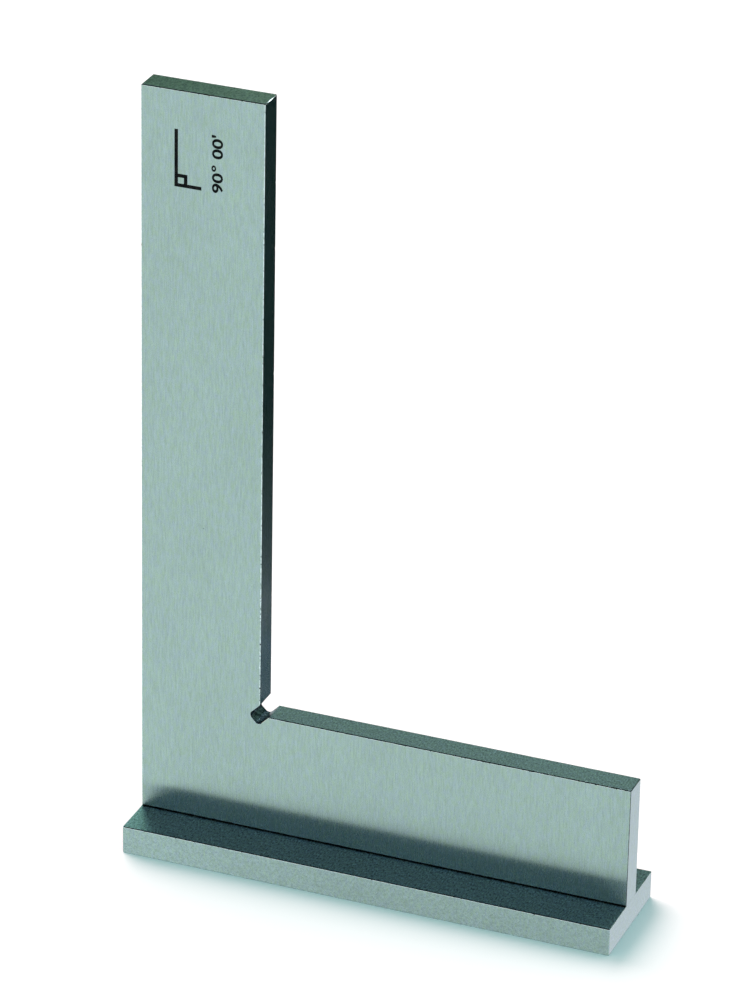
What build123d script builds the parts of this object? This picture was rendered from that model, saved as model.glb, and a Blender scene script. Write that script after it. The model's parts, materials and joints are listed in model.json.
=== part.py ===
from build123d import *
import os

# Steel square with a back: a flat L-shaped blade standing on edge along the middle of a wider
# flat stop bar, held by three countersunk screws and lined up by two dowel pins.
#
# Frame: the origin is the centre of the stop bar's underside. +X runs along the foot towards
# the end of the short leg, +Y runs across the bar and +Z is up the tall leg. Millimetres.

# Stop bar: 25 x 6 flat stock, ground all over
bar_length = 100.0
bar_width = 24.2
bar_height = 5.7

# Blade: the same stock, cut to an L
overall_height = 156.5
blade_thickness = 5.5
tall_leg_width = 24.7
short_leg_top = 30.6

# Relief slot at 45 degrees in the inside corner, so that the corner of a workpiece has room
relief_width = 2.9
relief_depth = 1.75  # end wall beyond the inside corner, along the diagonal
relief_offset = 0.15  # axis off the diagonal, towards the tall leg
relief_corner_radius = 0.9

# Every ground edge is broken by hand. The bar's top end edges run under the blade's ends,
# where the two pieces are ground flush, so there the break is only a hairline.
edge_break = 0.2
flush_edge_break = 0.1

# Countersunk socket screws, M3 x 12, driven from the underside
screw_positions = {"left_screw": -34.0, "middle_screw": 0.0, "right_screw": 34.0}
screw_length = 12.0
head_diameter = 6.0
head_rim_height = 0.2
head_recess = 0.2
head_cone_angle = 90.0
shank_diameter = 3.0
thread_crest_diameter = 2.95  # within the tolerance of an M3 thread
thread_root_diameter = 2.5
thread_pitch = 0.5
thread_crest_width = 0.08
thread_root_width = 0.14
point_length = 0.5
point_chamfer = 0.3
socket_across_flats = 2.0
socket_depth = 1.1
clearance_hole_diameter = 3.4
tapped_hole_overrun = 1.5

# Dowel pins, 2.5 x 10, pressed in from the underside, domed end last
dowel_positions = {"left_dowel_pin": -44.0, "right_dowel_pin": 44.0}
dowel_diameter = 2.5
dowel_length = 10.0
dowel_recess = 0.3
dowel_lead_length = 0.5
dowel_lead_step = 0.2
dowel_dome_height = 0.3
dowel_hole_overrun = 0.6

# Worked out from the values above
outer_x = -bar_length / 2
short_leg_end_x = bar_length / 2
inner_x = outer_x + tall_leg_width
head_radius = head_diameter / 2
shank_radius = shank_diameter / 2
head_rim_top = head_recess + head_rim_height
head_cone_top = head_rim_top + head_radius - shank_radius  # as high as it is wide, at 90 degrees
countersink_radius = head_radius + head_rim_top
screw_tip_height = head_recess + screw_length
thread_crest_radius = thread_crest_diameter / 2
thread_root_radius = thread_root_diameter / 2
thread_flank_width = (thread_pitch - thread_crest_width - thread_root_width) / 2
thread_turns = int((screw_tip_height - point_length - head_cone_top) / thread_pitch)
thread_start = screw_tip_height - point_length - thread_turns * thread_pitch
tapped_hole_length = screw_tip_height + tapped_hole_overrun - bar_height
dowel_radius = dowel_diameter / 2
dowel_tip_height = dowel_recess + dowel_length
dowel_hole_length = dowel_tip_height + dowel_hole_overrun - bar_height

os.makedirs("parts", exist_ok=True)


def save(piece, name):
    piece.part.label = name
    export_step(piece.part, f"parts/{name}.step")


# Blade: the L is drawn in the XZ plane and extruded half its thickness each way
with BuildPart() as blade:
    with BuildSketch(Plane.XZ):
        with BuildLine():
            Polyline(
                (outer_x, bar_height),
                (short_leg_end_x, bar_height),
                (short_leg_end_x, short_leg_top),
                (inner_x, short_leg_top),
                (inner_x, overall_height),
                (outer_x, overall_height),
                close=True,
            )
        make_face()
    extrude(amount=blade_thickness / 2, both=True)

    # The relief slot is drawn in a plane at the inside corner, its X axis along the diagonal
    inside_corner = Plane(
        origin=(inner_x, 0, short_leg_top), x_dir=(-1, 0, -1), z_dir=(0, 1, 0)
    )
    with BuildSketch(inside_corner):
        with Locations((relief_depth - relief_width, relief_offset)):
            RectangleRounded(2 * relief_width, relief_width, relief_corner_radius)
    extrude(amount=blade_thickness, both=True, mode=Mode.SUBTRACT)

    # Both outlines are broken, and so are the three corners of the L that stand clear of the bar
    rear_and_front = blade.faces().filter_by(Axis.Y).sort_by(SortBy.AREA)[-2:]
    outlines = ShapeList(edge for face in rear_and_front for edge in face.edges())
    across = blade.edges().filter_by(Axis.Y).filter_by(GeomType.LINE)
    top_corners = across.group_by(Axis.Z)[-1]
    short_leg_corner = across.group_by(Axis.X)[-1].sort_by(Axis.Z)[-1]
    chamfer([*outlines, *top_corners, short_leg_corner], edge_break)

    # Tapped holes and dowel holes run up into the foot from the joint face
    with Locations(Plane((0, 0, bar_height), z_dir=(0, 0, -1))):
        with Locations([(x, 0) for x in screw_positions.values()]):
            Hole(shank_radius, depth=tapped_hole_length)
        with Locations([(x, 0) for x in dowel_positions.values()]):
            Hole(dowel_radius, depth=dowel_hole_length)
save(blade, "blade")

# Stop bar: countersunk clearance holes and dowel holes go right through from the underside
with BuildPart() as stop_bar:
    with BuildSketch(Plane.XY):
        Rectangle(bar_length, bar_width)
    extrude(amount=bar_height)
    flush_edges = stop_bar.edges().filter_by(Axis.Y).group_by(Axis.Z)[-1]
    chamfer(stop_bar.edges() - flush_edges, edge_break)
    flush_edges = stop_bar.edges().filter_by(Axis.Y).group_by(Axis.Z)[-1]
    chamfer(flush_edges, flush_edge_break)

    with Locations(Plane((0, 0, 0), z_dir=(0, 0, -1))):
        with Locations([(x, 0) for x in screw_positions.values()]):
            CounterSinkHole(
                clearance_hole_diameter / 2,
                countersink_radius,
                depth=bar_height,
                counter_sink_angle=head_cone_angle,
            )
        with Locations([(x, 0) for x in dowel_positions.values()]):
            Hole(dowel_radius, depth=bar_height)
save(stop_bar, "stop_bar")


def thread_outline():
    """Points up the outside of the thread, drawn as one ring for each turn."""
    points = []
    for turn in range(thread_turns):
        foot = thread_start + turn * thread_pitch
        crest = foot + thread_flank_width
        points += [
            (thread_root_radius, foot),
            (thread_crest_radius, crest),
            (thread_crest_radius, crest + thread_crest_width),
            (thread_root_radius, crest + thread_crest_width + thread_flank_width),
        ]
    return points


# Screws: a revolved outline with a hexagon socket in the head
for name, x in screw_positions.items():
    with BuildPart() as screw:
        with BuildSketch(Plane((x, 0, 0), x_dir=(1, 0, 0), z_dir=(0, -1, 0))):
            with BuildLine():
                Polyline(
                    (0, head_recess),
                    (head_radius, head_recess),
                    (head_radius, head_rim_top),
                    (shank_radius, head_cone_top),
                    (shank_radius, thread_start - thread_root_width),
                    *thread_outline(),
                    (thread_root_radius, screw_tip_height - point_chamfer),
                    (thread_root_radius - point_chamfer, screw_tip_height),
                    (0, screw_tip_height),
                    close=True,
                )
            make_face()
        revolve(axis=Axis((x, 0, 0), (0, 0, 1)))
        with BuildSketch(Plane.XY.offset(head_recess)):
            with Locations((x, 0)):
                RegularPolygon(socket_across_flats / 2, 6, major_radius=False)
        extrude(amount=socket_depth, mode=Mode.SUBTRACT)
    save(screw, name)

# Dowel pins: domed at the underside, with a tapered lead at the end that goes in first
for name, x in dowel_positions.items():
    with BuildPart() as dowel_pin:
        with BuildSketch(Plane((x, 0, 0), x_dir=(1, 0, 0), z_dir=(0, -1, 0))):
            # Halfway out, so shallow a dome has risen by a quarter of its height
            with BuildLine():
                dome = ThreePointArc(
                    (0, dowel_recess),
                    (dowel_radius / 2, dowel_recess + dowel_dome_height / 4),
                    (dowel_radius, dowel_recess + dowel_dome_height),
                )
                Polyline(
                    dome @ 1,
                    (dowel_radius, dowel_tip_height - dowel_lead_length),
                    (dowel_radius - dowel_lead_step, dowel_tip_height),
                    (0, dowel_tip_height),
                    dome @ 0,
                )
            make_face()
        revolve(axis=Axis((x, 0, 0), (0, 0, 1)))
    save(dowel_pin, name)
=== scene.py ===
"""Steel square with a stop bar: finished meshes, materials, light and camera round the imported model."""

import json
import math
import random

import bmesh
import bpy
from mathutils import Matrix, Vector, noise


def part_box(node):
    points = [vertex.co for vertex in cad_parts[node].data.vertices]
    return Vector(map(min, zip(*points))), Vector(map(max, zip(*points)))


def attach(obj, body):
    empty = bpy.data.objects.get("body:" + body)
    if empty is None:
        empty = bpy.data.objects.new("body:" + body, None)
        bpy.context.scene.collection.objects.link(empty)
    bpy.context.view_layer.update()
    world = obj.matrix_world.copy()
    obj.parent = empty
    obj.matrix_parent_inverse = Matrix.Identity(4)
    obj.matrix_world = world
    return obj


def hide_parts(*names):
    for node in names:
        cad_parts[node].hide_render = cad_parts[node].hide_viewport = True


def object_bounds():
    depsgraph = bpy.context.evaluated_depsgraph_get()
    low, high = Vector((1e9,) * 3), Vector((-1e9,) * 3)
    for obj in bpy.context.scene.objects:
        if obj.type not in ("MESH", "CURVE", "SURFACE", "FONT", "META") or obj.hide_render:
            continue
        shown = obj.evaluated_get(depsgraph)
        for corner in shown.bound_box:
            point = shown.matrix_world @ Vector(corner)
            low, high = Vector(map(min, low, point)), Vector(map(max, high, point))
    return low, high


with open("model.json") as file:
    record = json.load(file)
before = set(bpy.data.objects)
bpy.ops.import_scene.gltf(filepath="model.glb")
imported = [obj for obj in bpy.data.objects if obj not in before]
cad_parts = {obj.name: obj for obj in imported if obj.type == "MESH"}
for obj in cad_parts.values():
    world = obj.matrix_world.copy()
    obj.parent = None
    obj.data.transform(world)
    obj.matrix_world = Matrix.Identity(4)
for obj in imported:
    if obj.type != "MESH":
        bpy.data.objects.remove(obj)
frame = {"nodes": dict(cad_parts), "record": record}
cad_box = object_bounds()

MM = 0.001

# ---------------------------------------------------------------------------------------------
# Sizes, in metres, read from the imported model
# ---------------------------------------------------------------------------------------------

BLADE_LOW, BLADE_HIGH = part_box("blade")
BAR_LOW, BAR_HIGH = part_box("stop_bar")
MOUNTS = {mount["name"]: mount for mount in frame["record"]["mounts"]}
INNER_X = MOUNTS["inside_edge"]["pos_m"][0]
SHORT_LEG_TOP = MOUNTS["short_leg_edge"]["pos_m"][2]
SCREWS = ("left_screw", "middle_screw", "right_screw")
DOWEL_PINS = ("left_dowel_pin", "right_dowel_pin")

# Relief slot and holes, as in the design
RELIEF_WIDTH = 2.9 * MM
RELIEF_DEPTH = 1.75 * MM
RELIEF_OFFSET = 0.15 * MM  # towards the tall leg
RELIEF_RADIUS = 0.9 * MM
COUNTERSINK_RADIUS = 3.4 * MM
CLEARANCE_RADIUS = 1.7 * MM
TAPPED_RADIUS = 1.5 * MM
TAPPED_OVERRUN = 1.5 * MM
DOWEL_RADIUS = 1.25 * MM
DOWEL_OVERRUN = 0.6 * MM

# Broken edges
EDGE_BREAK = 0.2 * MM
FINE_BREAK = 0.1 * MM
INNER_EDGE_SHARE = 0.8  # the tall leg's inner edge is broken a little less than the others
RIGHT_END_SHARE = 0.7  # and so is the bar's right end
SEAM_BREAK = 0.24 * MM
SLOT_BREAK = 0.07 * MM
UNDER_BREAK = 0.06 * MM
FLUSH_BREAK = 0.03 * MM
FLUSH_RUN = 0.8 * MM  # how far beside the blade the bar's end break takes to reach its width
OUTLINE_STEP = 0.3 * MM
BREAK_STEPS = 4
ROUNDNESS = 0.5  # 0 is a flat chamfer and 1 a quarter round
WAVINESS = 0.25
CORNER_CALM = 1.5 * MM  # near a corner the break keeps its plain width
CORNER_ROUND = 0.22 * MM
WAVE_PITCHES = (0.9, 3.1)  # long and short waves of a break's width, in waves per millimetre
SHORT_WAVE_SHARE = 0.6
KNOCK_REACH_MM = (0.12, 0.3)
ARC_STEP = math.radians(15)
TOUCH = 0.01 * MM  # places nearer than this are the same place
MERGE_DISTANCE = 0.001 * MM
PAST_FACE = MM  # how far a cutter stands out of the face that it cuts
SHARP_ANGLE = math.radians(35)
FLAT_FACE_WEIGHT = 50
TURNED_SEGMENTS = 48


# ---------------------------------------------------------------------------------------------
# Finished meshes: an outline with rounded corners, extruded, with hand-broken edges
# ---------------------------------------------------------------------------------------------


class OutlinePoint:
    """One point of an outline: its place, outward normal, and what its corner needs when inset."""

    def __init__(self, place, normal, corner=None, radius=0.0, miter=None, calm=0.0):
        self.place = place
        self.normal = normal
        self.corner = corner
        self.radius = radius
        self.miter = miter
        self.calm = calm  # 0 in the middle of a run, 1 at a corner

    def inset(self, by):
        if self.corner is not None and by > self.radius:
            return self.corner + self.miter * by
        return self.place - self.normal * by


def outline(corners, step):
    """Points round a closed outline. corners is [(x, y, radius)], anticlockwise."""
    count = len(corners)
    places = [Vector((x, y)) for x, y, _ in corners]
    rounds = []
    for i, (_, _, radius) in enumerate(corners):
        before = (places[i - 1] - places[i]).normalized()
        after = (places[(i + 1) % count] - places[i]).normalized()
        turn = before.angle(after)
        convex = before.cross(after) < 0
        reach = radius / math.tan(turn / 2)
        centre = places[i] + (before + after).normalized() * (radius / math.sin(turn / 2))
        rounds.append((before, after, turn, convex, reach, centre))
    points = []
    for i, (_, _, radius) in enumerate(corners):
        before, after, turn, convex, reach, centre = rounds[i]
        start = places[i] + before * reach
        normal_in = Vector((-before.y, before.x))
        normal_out = Vector((after.y, -after.x))
        sweep = math.pi - turn
        steps = max(3, math.ceil(sweep / ARC_STEP))
        miter = -(normal_in + normal_out) / (1 + normal_in.dot(normal_out))
        for k in range(steps + 1):
            share = k / steps
            normal = normal_in.slerp(normal_out, share)
            side = 1 if convex else -1
            place = centre + normal * radius * side
            points.append(
                OutlinePoint(place, normal, places[i] if convex else None, radius, miter, 1.0)
            )
        end = places[i] + after * reach
        nxt = rounds[(i + 1) % count]
        stop = places[(i + 1) % count] + nxt[0] * nxt[4]
        run = stop - end
        pieces = max(1, round(run.length / step))
        for k in range(1, pieces):
            place = end + run * (k / pieces)
            nearest = min((place - end).length, (place - stop).length)
            calm = max(0.0, 1 - nearest / CORNER_CALM)
            points.append(OutlinePoint(place, normal_out, calm=calm))
    return points


def break_profile(width):
    """(inset, depth) pairs from the flat face to the wall over a broken edge."""
    pairs = []
    for k in range(BREAK_STEPS + 1):
        share = k / BREAK_STEPS
        turn = share * math.pi / 2
        round_inset, round_depth = 1 - math.sin(turn), 1 - math.cos(turn)
        flat_inset, flat_depth = 1 - share, share
        inset = flat_inset + (round_inset - flat_inset) * ROUNDNESS
        depth = flat_depth + (round_depth - flat_depth) * ROUNDNESS
        pairs.append((inset * width, depth * width))
    return pairs


def nicks(points, count, seed, largest):
    """Small knocks on an outline's edges: (place, side, extra width, reach), away from corners."""
    draw = random.Random(seed)
    free = [point for point in points if point.calm == 0]
    found = []
    for _ in range(count):
        point = draw.choice(free)
        extra = largest * draw.random() ** 2
        reach = draw.uniform(*KNOCK_REACH_MM) * MM
        found.append((point.place, draw.choice(("low", "high")), extra, reach))
    return found


def plate(name, corners, low, high, to_space, plain_width, knocks, slots, materials):
    """A flat plate with hand-broken edges, between low and high along its third axis.

    to_space turns (2D place, third coordinate) into a point, and plain_width gives the width of
    the broken edge at a 2D place on one side. slots gives the material slots of the wall and of
    the breaks at a 2D place, and the flat faces have slot 0.
    """
    points = outline(corners, OUTLINE_STEP)
    unit = break_profile(1.0)
    mesh_data = bmesh.new()
    rings = {}
    for side in ("low", "high"):
        widths = []
        for point in points:
            plain = plain_width(point.place, side)
            seed_point = Vector((point.place.x, point.place.y, 0 if side == "low" else 1)) / MM
            long_wave, short_wave = (noise.noise(seed_point * pitch) for pitch in WAVE_PITCHES)
            wave = long_wave + SHORT_WAVE_SHARE * short_wave
            width = plain * (1 + WAVINESS * wave * (1 - point.calm))
            for place, knocked, extra, reach in knocks:
                apart = (place - point.place).length
                if knocked == side and apart < 3 * reach and plain > FLUSH_BREAK:
                    width += extra * math.exp(-((apart / reach) ** 2)) * (1 - point.calm)
            widths.append(width)
        rings[side] = [
            [
                mesh_data.verts.new(
                    to_space(
                        point.inset(inset * width),
                        low + depth * width if side == "low" else high - depth * width,
                    )
                )
                for point, width in zip(points, widths)
            ]
            for inset, depth in unit
        ]

    def strip(first, second, slot_at):
        for i, point in enumerate(points):
            j = (i + 1) % len(points)
            face = mesh_data.faces.new((first[i], first[j], second[j], second[i]))
            face.material_index = slot_at((point.place + points[j].place) / 2)

    for side in ("low", "high"):
        for first, second in zip(rings[side], rings[side][1:]):
            strip(first, second, lambda place: slots(place)[1])
        mesh_data.faces.new(rings[side][0]).material_index = 0
    strip(rings["low"][-1], rings["high"][-1], lambda place: slots(place)[0])
    bmesh.ops.remove_doubles(mesh_data, verts=mesh_data.verts, dist=MERGE_DISTANCE)
    bmesh.ops.recalc_face_normals(mesh_data, faces=mesh_data.faces)
    return finished(name, mesh_data, materials)


def finished(name, mesh_data, materials=()):
    """An object from a bmesh, linked to the scene."""
    mesh = bpy.data.meshes.new(name)
    for material in materials:
        mesh.materials.append(material)
    mesh_data.to_mesh(mesh)
    mesh_data.free()
    piece = bpy.data.objects.new(name, mesh)
    bpy.context.scene.collection.objects.link(piece)
    return piece


def turned(name, profile, x, segments=TURNED_SEGMENTS):
    """A solid of revolution about the vertical axis at x, from (radius, height) pairs."""
    mesh_data = bmesh.new()
    rings = [
        [
            mesh_data.verts.new(
                (
                    x + radius * math.cos(2 * math.pi * k / segments),
                    radius * math.sin(2 * math.pi * k / segments),
                    height,
                )
            )
            for k in range(segments)
        ]
        for radius, height in profile
    ]
    for first, second in zip(rings, rings[1:]):
        for k in range(segments):
            nxt = (k + 1) % segments
            mesh_data.faces.new((first[k], first[nxt], second[nxt], second[k]))
    mesh_data.faces.new(rings[0])
    mesh_data.faces.new(rings[-1])
    bmesh.ops.recalc_face_normals(mesh_data, faces=mesh_data.faces)
    return finished(name, mesh_data)


def cut(piece, cutters):
    """Cuts the cutters out of a piece for good, and deletes them."""
    for cutter in cutters:
        modifier = piece.modifiers.new(cutter.name, "BOOLEAN")
        modifier.operation = "DIFFERENCE"
        modifier.solver = "EXACT"
        modifier.object = cutter
    graph = bpy.context.evaluated_depsgraph_get()
    cut_mesh = bpy.data.meshes.new_from_object(piece.evaluated_get(graph))
    piece.modifiers.clear()
    piece.data = cut_mesh
    for cutter in cutters:
        bpy.data.objects.remove(cutter, do_unlink=True)


def shade(piece):
    """Smooth shading over the broken edges, with the large ground faces kept flat."""
    piece.data.shade_smooth()
    piece.data.set_sharp_from_angle(angle=SHARP_ANGLE)
    modifier = piece.modifiers.new("flat_faces", "WEIGHTED_NORMAL")
    modifier.mode = "FACE_AREA"
    modifier.weight = FLAT_FACE_WEIGHT
    modifier.keep_sharp = True


def middle_x(node):
    low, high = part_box(node)
    return (low[0] + high[0]) / 2


def make_blade(materials):
    """The L-shaped blade, drawn in the XZ plane, with its relief slot and the holes in its foot."""
    inside = Vector((INNER_X, SHORT_LEG_TOP))
    along = Vector((-1, -1)).normalized()
    across = Vector((1, -1)).normalized()
    low_side, high_side = RELIEF_WIDTH / 2 - RELIEF_OFFSET, RELIEF_WIDTH / 2 + RELIEF_OFFSET
    slot_low = inside + along * RELIEF_DEPTH + across * low_side
    slot_high = inside + along * RELIEF_DEPTH - across * high_side
    corner, sharp, tight = CORNER_ROUND, 0.03 * MM, 0.12 * MM
    left, right = BLADE_LOW[0], BLADE_HIGH[0]
    foot, top = BLADE_LOW[2], BLADE_HIGH[2]
    corners = [
        (left, foot, sharp),
        (right, foot, sharp),
        (right, SHORT_LEG_TOP, corner),
        (INNER_X + low_side * math.sqrt(2), SHORT_LEG_TOP, tight),
        (*slot_low, RELIEF_RADIUS),
        (*slot_high, RELIEF_RADIUS),
        (INNER_X, SHORT_LEG_TOP + high_side * math.sqrt(2), tight),
        (INNER_X, top, corner),
        (left, top, corner),
    ]

    def in_slot(place):
        """Whether a place on the outline is on the walls of the relief slot."""
        from_inside = place - inside
        beside = abs(from_inside.dot(across) + RELIEF_OFFSET) < RELIEF_WIDTH / 2 + 2 * TOUCH
        return beside and from_inside.length < RELIEF_WIDTH

    def at_foot(place):
        return place.y < foot + TOUCH

    def plain_width(place, side):
        if at_foot(place):
            return SEAM_BREAK
        if in_slot(place):
            return SLOT_BREAK
        at_end = place.x < left + TOUCH or place.x > right - TOUCH
        if side == "high" or at_end:
            return FINE_BREAK
        on_inner_edge = abs(place.x - INNER_X) < TOUCH
        return INNER_EDGE_SHARE * EDGE_BREAK if on_inner_edge else EDGE_BREAK

    inner_top = Vector((INNER_X, top))

    def slots(place):
        # Painted shade: slot 2 darkens the relief slot's walls, slot 3 the foot seam's break and the
        # right end's breaks
        dark = at_foot(place) or place.x > right - TOUCH
        # the wall round the tall leg's inner top corner takes the edges' brighter steel: a painted
        # highlight
        at_inner_top = (place - inner_top).length < corner
        return 2 if in_slot(place) else 1 if at_inner_top else 0, 3 if dark else 1

    points = outline(corners, OUTLINE_STEP)
    inner = [point for point in points if point.place.x > left + MM and point.place.y < top - MM]
    knocks = nicks(inner, count=60, seed=7, largest=0.14 * MM)
    knocks += nicks(points, count=20, seed=8, largest=0.05 * MM)
    blade = plate(
        "ground_blade",
        corners,
        BLADE_LOW[1],
        BLADE_HIGH[1],
        lambda place, third: (place.x, third, place.y),
        plain_width,
        knocks,
        slots,
        materials,
    )
    start = foot - PAST_FACE
    holes = [(node, TAPPED_RADIUS, TAPPED_OVERRUN) for node in SCREWS]
    holes += [(node, DOWEL_RADIUS, DOWEL_OVERRUN) for node in DOWEL_PINS]
    cutters = []
    for node, radius, overrun in holes:
        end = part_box(node)[1][2] + overrun
        cutters.append(turned(f"hole_{node}", [(radius, start), (radius, end)], middle_x(node)))
    cut(blade, cutters)
    shade(blade)
    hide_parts("blade")
    return blade


def make_stop_bar(materials):
    """The stop bar, drawn in the XY plane, with countersunk holes and dowel holes."""
    corners = [
        (BAR_LOW[0], BAR_LOW[1], CORNER_ROUND),
        (BAR_HIGH[0], BAR_LOW[1], CORNER_ROUND),
        (BAR_HIGH[0], BAR_HIGH[1], CORNER_ROUND),
        (BAR_LOW[0], BAR_HIGH[1], CORNER_ROUND),
    ]

    def plain_width(place, side):
        """The break dies out where the blade's end is ground flush with the bar's."""
        if side == "low":
            return UNDER_BREAK
        if abs(place.x) < BAR_HIGH[0] - TOUCH:
            return EDGE_BREAK
        widest = FINE_BREAK if place.x < 0 else RIGHT_END_SHARE * EDGE_BREAK
        beyond = (abs(place.y) - BLADE_HIGH[1]) / FLUSH_RUN
        return FLUSH_BREAK + (widest - FLUSH_BREAK) * min(1.0, max(0.0, beyond))

    points = outline(corners, OUTLINE_STEP)
    knocks = nicks(points, count=60, seed=11, largest=0.1 * MM)
    bar = plate(
        "ground_stop_bar",
        corners,
        BAR_LOW[2],
        BAR_HIGH[2],
        lambda place, third: (place.x, place.y, third),
        plain_width,
        knocks,
        lambda _place: (0, 1),
        materials,
    )
    under, over = BAR_LOW[2] - PAST_FACE, BAR_HIGH[2] + PAST_FACE
    cone_top = COUNTERSINK_RADIUS - CLEARANCE_RADIUS
    cutters = [
        turned(
            f"sink_{node}",
            [
                (COUNTERSINK_RADIUS, under),
                (COUNTERSINK_RADIUS, BAR_LOW[2]),
                (CLEARANCE_RADIUS, BAR_LOW[2] + cone_top),
                (CLEARANCE_RADIUS, over),
            ],
            middle_x(node),
        )
        for node in SCREWS
    ]
    cutters += [
        turned(f"ream_{node}", [(DOWEL_RADIUS, under), (DOWEL_RADIUS, over)], middle_x(node))
        for node in DOWEL_PINS
    ]
    cut(bar, cutters)
    shade(bar)
    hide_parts("stop_bar")
    return bar


# ---------------------------------------------------------------------------------------------
# Materials
# ---------------------------------------------------------------------------------------------


class Nodes:
    """Adds linked nodes to one node tree."""

    def __init__(self, tree):
        self.tree = tree
        tree.nodes.clear()

    def add(self, kind, inputs=None, **settings):
        node = self.tree.nodes.new(kind)
        for name, value in settings.items():
            setattr(node, name, value)
        for name, value in (inputs or {}).items():
            socket = node.inputs[name]
            if isinstance(value, bpy.types.NodeSocket):
                self.tree.links.new(value, socket)
            else:
                socket.default_value = value
        return node

    def maths(self, operation, *values):
        return self.add("ShaderNodeMath", dict(enumerate(values)), operation=operation).outputs[0]

    def vector(self, operation, *values):
        node = self.add("ShaderNodeVectorMath", dict(enumerate(values)), operation=operation)
        return node.outputs["Vector"]

    def scaled(self, vector, by):
        node = self.add("ShaderNodeVectorMath", {0: vector, "Scale": by}, operation="SCALE")
        return node.outputs["Vector"]

    def ramp(self, value, low, high, to_low=0.0, to_high=1.0):
        node = self.add(
            "ShaderNodeMapRange",
            {0: value, 1: low, 2: high, 3: to_low, 4: to_high},
            clamp=True,
        )
        return node.outputs[0]

    def mix(self, factor, first, second):
        node = self.add("ShaderNodeMix", {0: factor}, data_type="RGBA")
        for socket, value in ((node.inputs[6], first), (node.inputs[7], second)):
            if isinstance(value, bpy.types.NodeSocket):
                self.tree.links.new(value, socket)
            else:
                socket.default_value = (*value, 1)
        return node.outputs[2]

    def mix_vector(self, factor, first, second):
        node = self.add("ShaderNodeMix", {0: factor}, data_type="VECTOR")
        for socket, value in ((node.inputs[4], first), (node.inputs[5], second)):
            if isinstance(value, bpy.types.NodeSocket):
                self.tree.links.new(value, socket)
            else:
                socket.default_value = value
        return node.outputs[1]

    def noise(self, coordinates, size, detail=2.0, roughness=0.5):
        """A noise pattern with features of that size, in metres along each axis."""
        scaled = self.vector("DIVIDE", coordinates, tuple(size))
        node = self.add(
            "ShaderNodeTexNoise",
            {"Vector": scaled, "Scale": 1.0, "Detail": detail, "Roughness": roughness},
        )
        return node.outputs["Fac"]


def outward(nodes, coordinates):
    """(normal, share facing up or down, share facing the ends) of the point being shaded."""
    normal = coordinates.outputs["Normal"]
    parts = nodes.add("ShaderNodeSeparateXYZ", {0: normal})
    upward = nodes.maths("GREATER_THAN", nodes.maths("ABSOLUTE", parts.outputs[2]), AXIS_FACING)
    endward = nodes.maths("GREATER_THAN", nodes.maths("ABSOLUTE", parts.outputs[0]), AXIS_FACING)
    return normal, upward, endward


GRIT = 0.26 * MM
GRIT_SHARE = 0.25
FINE, LONG = 0.2 * MM, 2.8 * MM  # width and length of a grinding mark
UPPER_ZONE = 100 * MM  # above the short leg's edge, and below the tall leg's top
AXIS_FACING = 0.75  # a face this much along an axis counts as facing that way
HAZED = 0.93  # how metallic the broad standing faces are, under a thin haze
END_ROUGHNESS = 0.75  # of that of the other faces
DARKEST = 0.15  # the least of its colour that a mark leaves
ANISOTROPY = 0.97
SCORE_DEPTH = 0.001 * MM
GRAIN_DEPTH = 0.003 * MM
CLOUDS = (9 * MM, 9 * MM, 22 * MM)
TINT_PATCHES = (0.5 * MM, 0.5 * MM, 1.2 * MM)
GREENISH, BLUISH = (0.98, 1.01, 0.88), (1.0, 0.985, 1.12)
SPECK_PITCH = 11 * MM
WEAR_PATCH = 0.8 * MM
PIT_PATCH = 0.55 * MM
PIT_COLOUR = (0.02, 0.02, 0.02)
PLAIN = (1.0, 1.0, 1.0)


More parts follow.
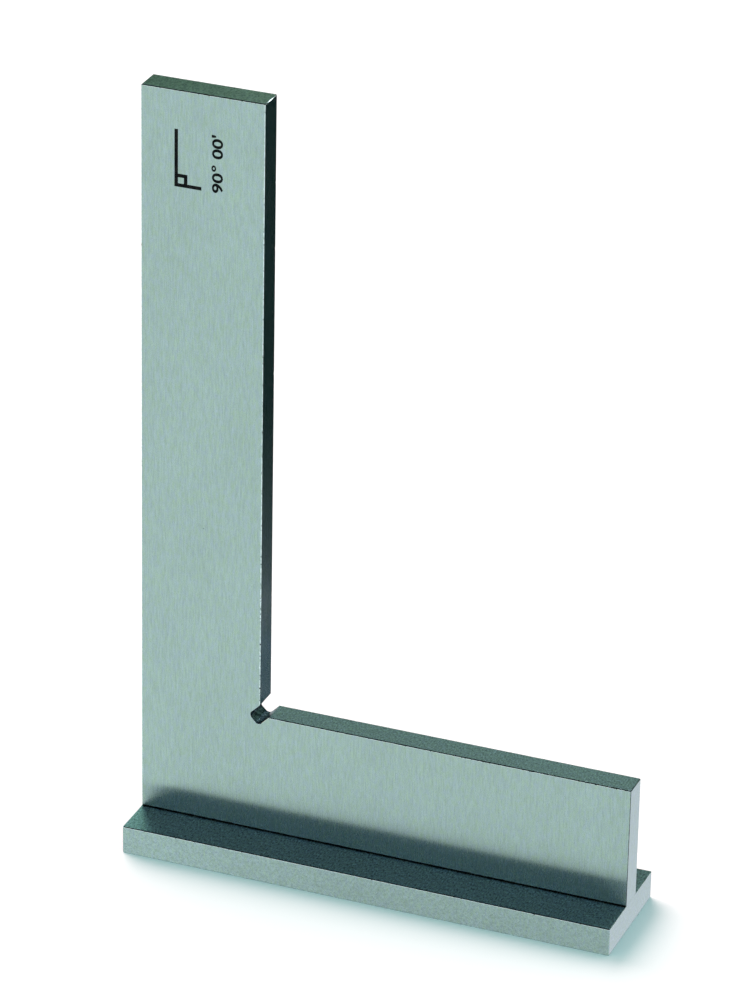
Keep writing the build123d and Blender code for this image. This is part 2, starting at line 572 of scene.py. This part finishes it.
def ground_steel(name, colour, end_shade_colour, side, top, top_blur, painted_top_light):
    """Surface-ground steel.

    side and top are (size of the grinding marks, direction they run in, contrast) of the faces
    that stand and of those that lie. top_blur is how much rougher the lying faces are. The last
    argument gives the lying faces' tint below UPPER_ZONE and in it: painted light, brighter
    below and darker in it, for how the light falls on the short leg's top and the tall leg's.
    The faces that look along X take the second colour, a bluer copy: painted shade.
    """
    side_grain, side_axis, side_contrast = side
    top_grain, top_axis, top_contrast = top
    material = bpy.data.materials.new(name)
    material.use_nodes = True
    nodes = Nodes(material.node_tree)
    coordinates = nodes.add("ShaderNodeTexCoord")
    places = coordinates.outputs["Object"]
    normal, upward, endward = outward(nodes, coordinates)

    side_marks = nodes.noise(places, side_grain, detail=2.0, roughness=0.6)
    top_marks = nodes.noise(places, top_grain, detail=2.0, roughness=0.6)
    streaks = nodes.add(
        "ShaderNodeMix", {0: upward, 2: side_marks, 3: top_marks}, data_type="FLOAT"
    ).outputs[0]
    grit = nodes.noise(places, (GRIT, GRIT, 1.6 * GRIT), detail=1.0)
    marks = nodes.add(
        "ShaderNodeMix", {0: GRIT_SHARE, 2: streaks, 3: grit}, data_type="FLOAT"
    ).outputs[0]
    contrast = nodes.ramp(upward, 0.0, 1.0, side_contrast, top_contrast)
    spread = nodes.maths("MULTIPLY", nodes.ramp(marks, 0.2, 0.8, -1.0, 1.0), contrast)
    clouds = nodes.noise(places, CLOUDS, detail=2.0)
    tint = nodes.noise(places, TINT_PATCHES, detail=2.0)

    # Painted shade: the faces that look along X (the ends, and on the blade the tall leg's inner face)
    # take a bluer copy of the colour
    plain = nodes.mix(endward, colour, end_shade_colour)
    # Painted light: the lying faces are tinted brighter below UPPER_ZONE and darker in it
    height = nodes.add("ShaderNodeSeparateXYZ", {0: places}).outputs[2]
    painted_top_tint = nodes.mix(nodes.maths("GREATER_THAN", height, UPPER_ZONE), *painted_top_light)
    plain = nodes.vector("MULTIPLY", plain, nodes.mix(upward, PLAIN, painted_top_tint))
    patches = nodes.mix(nodes.ramp(tint, 0.25, 0.75), GREENISH, BLUISH)
    tinted = nodes.vector("MULTIPLY", plain, patches)
    light = nodes.maths("ADD", spread, nodes.ramp(clouds, 0.3, 0.7, 0.98, 1.02))
    light = nodes.maths("MAXIMUM", light, DARKEST)
    cells = nodes.add(
        "ShaderNodeTexVoronoi",
        {"Vector": nodes.vector("DIVIDE", places, (SPECK_PITCH,) * 3), "Scale": 1.0},
    )
    speck = nodes.ramp(cells.outputs["Distance"], 0.008, 0.016, 0.55, 1.0)
    shaded = nodes.scaled(tinted, nodes.maths("MULTIPLY", light, speck))

    grain_axis = nodes.mix_vector(upward, side_axis, top_axis)
    tangent = nodes.vector("CROSS_PRODUCT", normal, grain_axis)
    bump = nodes.add(
        "ShaderNodeBump", {"Height": marks, "Distance": SCORE_DEPTH, "Strength": 1.0}
    )
    shader = nodes.add(
        "ShaderNodeBsdfPrincipled",
        {
            "Base Color": shaded,
            "Metallic": nodes.ramp(nodes.maths("MAXIMUM", upward, endward), 0.0, 1.0, HAZED, 1.0),
            "Roughness": nodes.maths(
                "MULTIPLY",
                nodes.ramp(marks, 0.2, 0.8, 0.25, 0.29),
                nodes.maths(
                    "ADD",
                    nodes.ramp(endward, 0.0, 1.0, 1.0, END_ROUGHNESS),
                    nodes.ramp(upward, 0.0, 1.0, 0.0, top_blur),
                ),
            ),
            "Anisotropic": ANISOTROPY,
            "Tangent": tangent,
            "Normal": bump.outputs[0],
        },
    )
    nodes.add("ShaderNodeOutputMaterial", {"Surface": shader.outputs[0]})
    return material


def plain_metal(name, colour, worn_colour, roughness, grain, contrast, pitted=None):
    """A metal with fine marks and clouded wear, for edges, screws, pins and marks. In the relief
    slot and the foot seam its dark colours are painted shade, and on the edges its bright colour
    is partly a painted highlight.

    pitted is how strong the pattern of pits has to be before they show dark.
    """
    material = bpy.data.materials.new(name)
    material.use_nodes = True
    nodes = Nodes(material.node_tree)
    places = nodes.add("ShaderNodeTexCoord").outputs["Object"]
    marks = nodes.noise(places, grain, detail=3.0, roughness=0.6)
    wear = nodes.ramp(nodes.noise(places, (WEAR_PATCH,) * 3, detail=4.0), 0.45, 0.75)
    base = nodes.mix(wear, colour, worn_colour)
    if pitted is not None:
        pits = nodes.noise(places, (PIT_PATCH,) * 3, detail=2.0, roughness=0.7)
        base = nodes.mix(nodes.ramp(pits, pitted - 0.03, pitted + 0.03), base, PIT_COLOUR)
    shaded = nodes.scaled(base, nodes.ramp(marks, 0.2, 0.8, 1 - contrast, 1 + contrast))
    bump = nodes.add(
        "ShaderNodeBump", {"Height": marks, "Distance": GRAIN_DEPTH, "Strength": 1.0}
    )
    shader = nodes.add(
        "ShaderNodeBsdfPrincipled",
        {
            "Base Color": shaded,
            "Metallic": 1.0,
            "Roughness": nodes.ramp(marks, 0.2, 0.8, roughness - 0.04, roughness + 0.06),
            "Normal": bump.outputs[0],
        },
    )
    nodes.add("ShaderNodeOutputMaterial", {"Surface": shader.outputs[0]})
    return material


# How bright the white cards are. They stand for the floor in the steel, and the lit floor itself
# is a little under this. 1 is already white.
FLOOR_LIGHT = 1.2
STEEL = tuple(share / FLOOR_LIGHT for share in (0.358, 0.505, 0.476))
# The faces that look along X have their own colour: painted shade
STEEL_END_SHADE = (0.285, 0.38, 0.415)
BAR_STEEL = tuple(share / FLOOR_LIGHT for share in (0.325, 0.475, 0.46))
# The broken edges' steel is brighter: partly the edges' own polish, partly a painted highlight
EDGE_HIGHLIGHT_STEEL = (0.58, 0.74, 0.76)

blade_steel = ground_steel(
    "ground_blade_steel",
    STEEL,
    STEEL_END_SHADE,
    side=((FINE, FINE, LONG), (0.0, 0.0, 1.0), 0.2),
    top=((0.3 * MM, 0.6 * MM, 0.3 * MM), (0.0, 1.0, 0.0), 0.95),
    top_blur=0.1,
    # painted light: the short leg's top brighter, the tall leg's top darker
    painted_top_light=((1.20, 1.145, 1.165), (0.72, 0.78, 0.65)),
)
bar_steel = ground_steel(
    "ground_bar_steel",
    BAR_STEEL,
    STEEL_END_SHADE,
    side=((0.4 * MM, 0.3 * MM, 0.3 * MM), (1.0, 0.0, 0.0), 0.36),
    top=((0.3 * MM, 0.7 * MM, 0.3 * MM), (0.0, 1.0, 0.0), 1.3),
    top_blur=0.35,
    painted_top_light=(PLAIN, PLAIN),
)
edge_highlight_steel = plain_metal(
    "broken_edge_highlight_steel", EDGE_HIGHLIGHT_STEEL, STEEL, 0.16, (0.3 * MM,) * 3, 0.1, pitted=0.62
)
# Painted shade: the relief slot's walls are near black for the shade in the recess, with lighter streaks
slot_shade_steel = plain_metal(
    "slot_painted_shade_steel",
    (0.06, 0.10, 0.13),
    (0.35, 0.50, 0.56),
    0.28,
    (0.25 * MM, 2 * MM, 0.25 * MM),
    0.8,
)
# Painted shade: near black for the foot seam's break, the groove between blade and bar; the same dark
# draws a line along the blade's right end edges
seam_and_end_edge_shade = plain_metal(
    "seam_and_end_edge_shade", (0.025, 0.04, 0.05), (0.16, 0.18, 0.16), 0.35, (0.3 * MM,) * 3, 0.4
)
screw_steel = plain_metal(
    "black_oxide_steel", (0.05, 0.05, 0.055), (0.16, 0.15, 0.14), 0.38, (0.2 * MM,) * 3, 0.2
)
pin_steel = plain_metal(
    "hardened_pin_steel", (0.6, 0.6, 0.58), (0.5, 0.5, 0.49), 0.18, (0.15 * MM,) * 3, 0.06
)
mark_black = plain_metal(
    "etched_mark_black", (0.005, 0.007, 0.008), (0.016, 0.018, 0.018), 0.55, (0.2 * MM,) * 3, 0.2
)


def fix(piece):
    """Gives a piece its place on the body."""
    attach(piece, "root")


fix(make_blade((blade_steel, edge_highlight_steel, slot_shade_steel, seam_and_end_edge_shade)))
stop_bar = make_stop_bar((bar_steel, edge_highlight_steel))
fix(stop_bar)

for nodes_of_a_kind, material in ((SCREWS, screw_steel), (DOWEL_PINS, pin_steel)):
    for node in nodes_of_a_kind:
        for material_slot in frame["nodes"][node].material_slots:
            material_slot.link = "OBJECT"
            material_slot.material = material


# ---------------------------------------------------------------------------------------------
# Etched marks on the blade's front: a right-angle sign, and its angle in numerals
# ---------------------------------------------------------------------------------------------

MARK_PROUD = 0.012 * MM
MARK_SUNK = 0.03 * MM
MARK_TOP = BLADE_HIGH[2] - 7.7 * MM
MARK_FOOT = BLADE_HIGH[2] - 19.1 * MM
SIGN_LEFT = BLADE_LOW[0] + 6.7 * MM
SIGN_WIDTH = 5.4 * MM
SIGN_STROKE = 0.7 * MM
SIGN_SQUARE = 1.9 * MM
NUMERAL_SWELL = 0.022  # how much bolder the numerals are, as a share of their size
NUMERALS_LEFT = BLADE_LOW[0] + 14.1 * MM
NUMERALS_RIGHT = BLADE_LOW[0] + 16.4 * MM


def strokes(name, boxes):
    """Thin strokes on the blade's front face, from (left, foot, right, top) boxes."""
    mesh_data = bmesh.new()
    for left, foot, right, top in boxes:
        low = Vector((left, BLADE_LOW[1] - MARK_PROUD, foot))
        high = Vector((right, BLADE_LOW[1] + MARK_SUNK, top))
        made = bmesh.ops.create_cube(mesh_data, size=1.0)["verts"]
        bmesh.ops.scale(mesh_data, vec=high - low, verts=made)
        bmesh.ops.translate(mesh_data, vec=(low + high) / 2, verts=made)
    return finished(name, mesh_data, (mark_black,))


def numerals(name, words):
    """Numerals that read up the blade, fitted between the four sides of their place."""
    curve = bpy.data.curves.new(name, "FONT")
    curve.body = words
    curve.extrude = 0.5
    curve.offset = NUMERAL_SWELL
    writing = bpy.data.objects.new(name, curve)
    bpy.context.scene.collection.objects.link(writing)
    graph = bpy.context.evaluated_depsgraph_get()
    mesh = bpy.data.meshes.new_from_object(writing.evaluated_get(graph))
    bpy.data.objects.remove(writing, do_unlink=True)
    low = [min(vert.co[axis] for vert in mesh.vertices) for axis in range(3)]
    high = [max(vert.co[axis] for vert in mesh.vertices) for axis in range(3)]
    for vert in mesh.vertices:
        along, tall, deep = [
            (vert.co[axis] - low[axis]) / (high[axis] - low[axis]) for axis in range(3)
        ]
        vert.co = (
            NUMERALS_RIGHT + (NUMERALS_LEFT - NUMERALS_RIGHT) * tall,
            BLADE_LOW[1] + MARK_SUNK - (MARK_PROUD + MARK_SUNK) * deep,
            MARK_FOOT + (MARK_TOP - MARK_FOOT) * along,
        )
    mesh.materials.append(mark_black)
    piece = bpy.data.objects.new(name, mesh)
    bpy.context.scene.collection.objects.link(piece)
    return piece


sign_right = SIGN_LEFT + SIGN_WIDTH
sign_inner = SIGN_LEFT + SIGN_STROKE + SIGN_SQUARE
square_top = MARK_FOOT + SIGN_STROKE + SIGN_SQUARE
sign = strokes(
    "right_angle_sign",
    [
        (SIGN_LEFT, MARK_FOOT, SIGN_LEFT + SIGN_STROKE, MARK_TOP),
        (SIGN_LEFT + SIGN_STROKE, MARK_FOOT, sign_right, MARK_FOOT + SIGN_STROKE),
        (sign_inner - SIGN_STROKE, MARK_FOOT + SIGN_STROKE, sign_inner, square_top),
        (SIGN_LEFT + SIGN_STROKE, square_top - SIGN_STROKE, sign_inner - SIGN_STROKE, square_top),
    ],
)
fix(sign)
fix(numerals("angle_numerals", "90° 00'"))


# ---------------------------------------------------------------------------------------------
# Stage, light and camera
# ---------------------------------------------------------------------------------------------


def emitter(name, colour, fade):
    """A flat glow, for cards that are only seen in reflections.

    fade is (x where it starts, x where it ends, share of the glow left at the end).
    """
    material = bpy.data.materials.new(name)
    material.use_nodes = True
    nodes = Nodes(material.node_tree)
    places = nodes.add("ShaderNodeTexCoord").outputs["Object"]
    x = nodes.add("ShaderNodeSeparateXYZ", {0: places}).outputs[0]
    strength = nodes.ramp(x, fade[0], fade[1], 1.0, fade[2])
    glow = nodes.add("ShaderNodeEmission", {"Color": (*colour, 1), "Strength": strength})
    nodes.add("ShaderNodeOutputMaterial", {"Surface": glow.outputs[0]})
    material.cycles.emission_sampling = "NONE"
    return material


def panel(name, corners, material):
    """A flat panel of the stage."""
    mesh = bpy.data.meshes.new(name)
    mesh.from_pydata(corners, [], [tuple(range(len(corners)))])
    mesh.materials.append(material)
    item = bpy.data.objects.new(name, mesh)
    bpy.context.scene.collection.objects.link(item)
    return item


EVEN = (0.0, 1.0, 1.0)  # the fade of a card that glows the same all over


def card(name, corners, colour, fade=EVEN):
    """A card that is seen only in the steel, and throws no light or shadow."""
    item = panel(name, corners, emitter(name, colour, fade))
    item.visible_camera = False
    item.visible_diffuse = False
    item.visible_shadow = False
    item.visible_transmission = False


FLOOR_HALF = 5.0
FLOOR_Z = BAR_LOW[2] - 0.02 * MM
FLOOR_ALBEDO = 0.8
floor_paint = bpy.data.materials.new("floor_paint")
floor_paint.use_nodes = True
floor_nodes = Nodes(floor_paint.node_tree)
floor_shader = floor_nodes.add(
    "ShaderNodeBsdfDiffuse", {"Color": (FLOOR_ALBEDO, FLOOR_ALBEDO, FLOOR_ALBEDO, 1)}
)
floor_nodes.add("ShaderNodeOutputMaterial", {"Surface": floor_shader.outputs[0]})
panel(
    "floor",
    [
        (-FLOOR_HALF, -FLOOR_HALF, FLOOR_Z),
        (FLOOR_HALF, -FLOOR_HALF, FLOOR_Z),
        (FLOOR_HALF, FLOOR_HALF, FLOOR_Z),
        (-FLOOR_HALF, FLOOR_HALF, FLOOR_Z),
    ],
    floor_paint,
)


CARD_Z = 0.03 * MM
CARD_GAP = 0.05 * MM
WHITE = (FLOOR_LIGHT,) * 3

# Where the cards end. The front ones lie from the bar's front to NEAR and on to FAR, the end one
# beside the bar's right end to END_RIGHT, and the grey and the dark one behind the bar.
BAR_FRONT, BAR_END = BAR_LOW[1] - CARD_GAP, BAR_HIGH[0] + CARD_GAP
NEAR, FAR = BAR_FRONT - 12 * MM, BAR_FRONT - 450 * MM
NEAR_LEFT, FAR_LEFT, FAR_RIGHT = -120 * MM, -500 * MM, 60 * MM
END_RIGHT, END_FRONT = 140 * MM, -30 * MM
GREY_RIGHT, GREY_FRONT, GREY_BACK = 40 * MM, 45 * MM, 85 * MM
DARK_LEFT, DARK_RIGHT, DARK_BACK = -80 * MM, 600 * MM, 700 * MM


def low_card(name, corners, colour, fade=EVEN):
    """A card lying just over the floor, from (x, y) corners."""
    card(name, [(x, y, CARD_Z) for x, y in corners], colour, fade)


def low_rectangle(name, left, front, right, back, colour, fade=EVEN):
    low_card(name, [(left, front), (right, front), (right, back), (left, back)], colour, fade)


low_card(
    "dark_card",
    [
        (DARK_LEFT, GREY_BACK),
        (END_RIGHT, GREY_BACK),
        (END_RIGHT, END_FRONT),
        (DARK_RIGHT, END_FRONT),
        (DARK_RIGHT, DARK_BACK),
        (DARK_LEFT, DARK_BACK),
    ],
    (0.004, 0.023, 0.018),
)
low_rectangle("grey_card", DARK_LEFT, GREY_FRONT, GREY_RIGHT, GREY_BACK, (0.075, 0.13, 0.15))
low_rectangle("end_card", BAR_END, END_FRONT, END_RIGHT, GREY_BACK, WHITE)
low_rectangle("near_card", NEAR_LEFT, NEAR, BAR_END, BAR_FRONT, WHITE, (-45 * MM, 0.0, 0.78))
low_rectangle("far_card", FAR_LEFT, FAR, FAR_RIGHT, NEAR, WHITE, (-60 * MM, -10 * MM, 0.96))

# Two standing cards: one lights the tall leg's inner top corner, the other the flange's left end
BRIGHT_LEFT, BRIGHT_RIGHT, BRIGHT_Y = 4 * MM, 36 * MM, 80 * MM
BRIGHT_FOOT, BRIGHT_TOP = 157 * MM, 198 * MM
card(
    "bright_card",
    [
        (BRIGHT_LEFT, BRIGHT_Y, BRIGHT_FOOT),
        (BRIGHT_RIGHT, BRIGHT_Y, BRIGHT_FOOT),
        (BRIGHT_RIGHT, BRIGHT_Y, BRIGHT_TOP),
        (BRIGHT_LEFT, BRIGHT_Y, BRIGHT_TOP),
    ],
    (8.0, 8.0, 8.0),
)
LEFT_X, LEFT_FRONT, LEFT_BACK = -62 * MM, -6 * MM, 45 * MM
LEFT_FOOT, LEFT_TOP = 1 * MM, 30 * MM
card(
    "left_card",
    [
        (LEFT_X, LEFT_FRONT, LEFT_FOOT),
        (LEFT_X, LEFT_BACK, LEFT_FOOT),
        (LEFT_X, LEFT_BACK, LEFT_TOP),
        (LEFT_X, LEFT_FRONT, LEFT_TOP),
    ],
    (0.8, 1.25, 1.15),
)

# The fill on the floor comes from a dome in two tones: one towards the near right, and one
# towards the far left, where the key light is
NEAR_FILL = tuple(share / FLOOR_ALBEDO for share in (0.34, 0.75, 0.75))
FAR_FILL = tuple(share / FLOOR_ALBEDO for share in (0.865, 0.665, 0.665))
KEY_COLOUR = (0.58, 0.46, 0.46)
KEY_ELEVATION = math.radians(29)
KEY_AZIMUTH = math.radians(144)
KEY_ANGLE = math.radians(58)
SKY_BLEND = 0.1  # half the width, across the bar, of the blend from front sky to back sky
FILL_BLEND = 0.7

world = bpy.data.worlds.new("studio")
bpy.context.scene.world = world
world.use_nodes = True
world.cycles.sampling_method = "NONE"
sky = Nodes(world.node_tree)
direction = sky.add("ShaderNodeTexCoord").outputs["Generated"]
toward = sky.add("ShaderNodeSeparateXYZ", {0: direction})


def gradient(stops):
    """A colour by the height of a direction, from (height, colour) pairs."""
    ramp = sky.add("ShaderNodeValToRGB", {0: toward.outputs[2]})
    elements = ramp.color_ramp.elements
    elements[0].position, elements[0].color = stops[0][0], (*stops[0][1], 1)
    elements[1].position, elements[1].color = stops[-1][0], (*stops[-1][1], 1)
    for place, colour in stops[1:-1]:
        elements.new(place).color = (*colour, 1)
    return ramp.outputs[0]


front_sky = gradient(
    [
        (0.0, (1.9, 1.6, 1.2)),
        (0.20, (1.9, 1.6, 1.2)),
        (0.34, (0.33, 0.47, 0.84)),
        (0.46, (0.25, 0.37, 0.69)),
        (0.50, (0.21, 0.32, 0.55)),
        (0.56, (0.006, 0.006, 0.007)),
        (1.0, (0.004, 0.004, 0.005)),
    ]
)
back_sky = gradient(
    [
        (0.0, (0.05, 0.06, 0.05)),
        (0.30, (0.07, 0.10, 0.07)),
        (0.368, (0.10, 0.20, 0.06)),
        (0.43, (0.30, 0.45, 0.42)),
        (0.47, (0.50, 0.70, 0.74)),
        (0.485, (0.46, 0.64, 0.66)),
        (0.50, (0.40, 0.50, 0.51)),
        (0.58, (0.30, 0.34, 0.34)),
        (0.66, (0.006, 0.006, 0.007)),
        (1.0, (0.004, 0.004, 0.005)),
    ]
)
behind = sky.ramp(toward.outputs[1], -SKY_BLEND, SKY_BLEND)
far_left = sky.maths("SUBTRACT", toward.outputs[1], toward.outputs[0])
fill = sky.mix(sky.ramp(far_left, -FILL_BLEND, FILL_BLEND), NEAR_FILL, FAR_FILL)
reflected = sky.mix(behind, front_sky, back_sky)
path = sky.add("ShaderNodeLightPath")
direct = sky.maths("LESS_THAN", path.outputs["Diffuse Depth"], 0.5)
mirrored = sky.maths("MULTIPLY", path.outputs["Is Glossy Ray"], direct)
lit = sky.mix(mirrored, fill, reflected)
seen = sky.mix(path.outputs["Is Camera Ray"], lit, (1.0, 1.0, 1.0))
background = sky.add("ShaderNodeBackground", {"Color": seen, "Strength": 1.0})
sky.add("ShaderNodeOutputWorld", {"Surface": background.outputs[0]})

key_light = bpy.data.lights.new("key_light", "SUN")
key_light.angle = KEY_ANGLE
key_light.energy = math.pi / FLOOR_ALBEDO / math.sin(KEY_ELEVATION)
key_light.color = KEY_COLOUR
key = bpy.data.objects.new("key_light", key_light)
bpy.context.scene.collection.objects.link(key)
key.visible_glossy = False

# Only the stop bar blocks the key light, so the tall leg throws no long shadow on the floor
key_blockers = bpy.data.collections.new("key_blockers")
key_blockers.objects.link(stop_bar)
key.light_linking.blocker_collection = key_blockers

from_key = Vector(
    (
        math.cos(KEY_AZIMUTH) * math.cos(KEY_ELEVATION),
        math.sin(KEY_AZIMUTH) * math.cos(KEY_ELEVATION),
        math.sin(KEY_ELEVATION),
    )
)
key.rotation_euler = from_key.to_track_quat("Z", "Y").to_euler()

# The camera: the direction it looks in, its roll, and the point it looks at
AZIMUTH = math.radians(21.07)
ELEVATION = math.radians(25.89)
ROLL = math.radians(1.11)
DISTANCE = 1.0283
LENS_MM = 198.2
CAD_MIDDLE = (Vector(cad_box[0]) + Vector(cad_box[1])) / 2
AIM = CAD_MIDDLE + Vector((-2.96, -0.30, 1.61)) * MM

forward = Vector(
    (
        -math.sin(AZIMUTH) * math.cos(ELEVATION),
        math.cos(AZIMUTH) * math.cos(ELEVATION),
        -math.sin(ELEVATION),
    )
)
level_right = forward.cross(Vector((0, 0, 1))).normalized()
level_up = level_right.cross(forward)
right = level_right * math.cos(ROLL) + level_up * math.sin(ROLL)
up = level_up * math.cos(ROLL) - level_right * math.sin(ROLL)

camera_data = bpy.data.cameras.new("camera")
camera_data.lens = LENS_MM
camera_data.clip_start = 10 * MM
camera = bpy.data.objects.new("camera", camera_data)
bpy.context.scene.collection.objects.link(camera)
for column, axis in enumerate((right, up, -forward, AIM - forward * DISTANCE)):
    for row in range(3):
        camera.matrix_world[row][column] = axis[row]
bpy.context.scene.camera = camera

bpy.context.scene.view_settings.view_transform = "Standard"
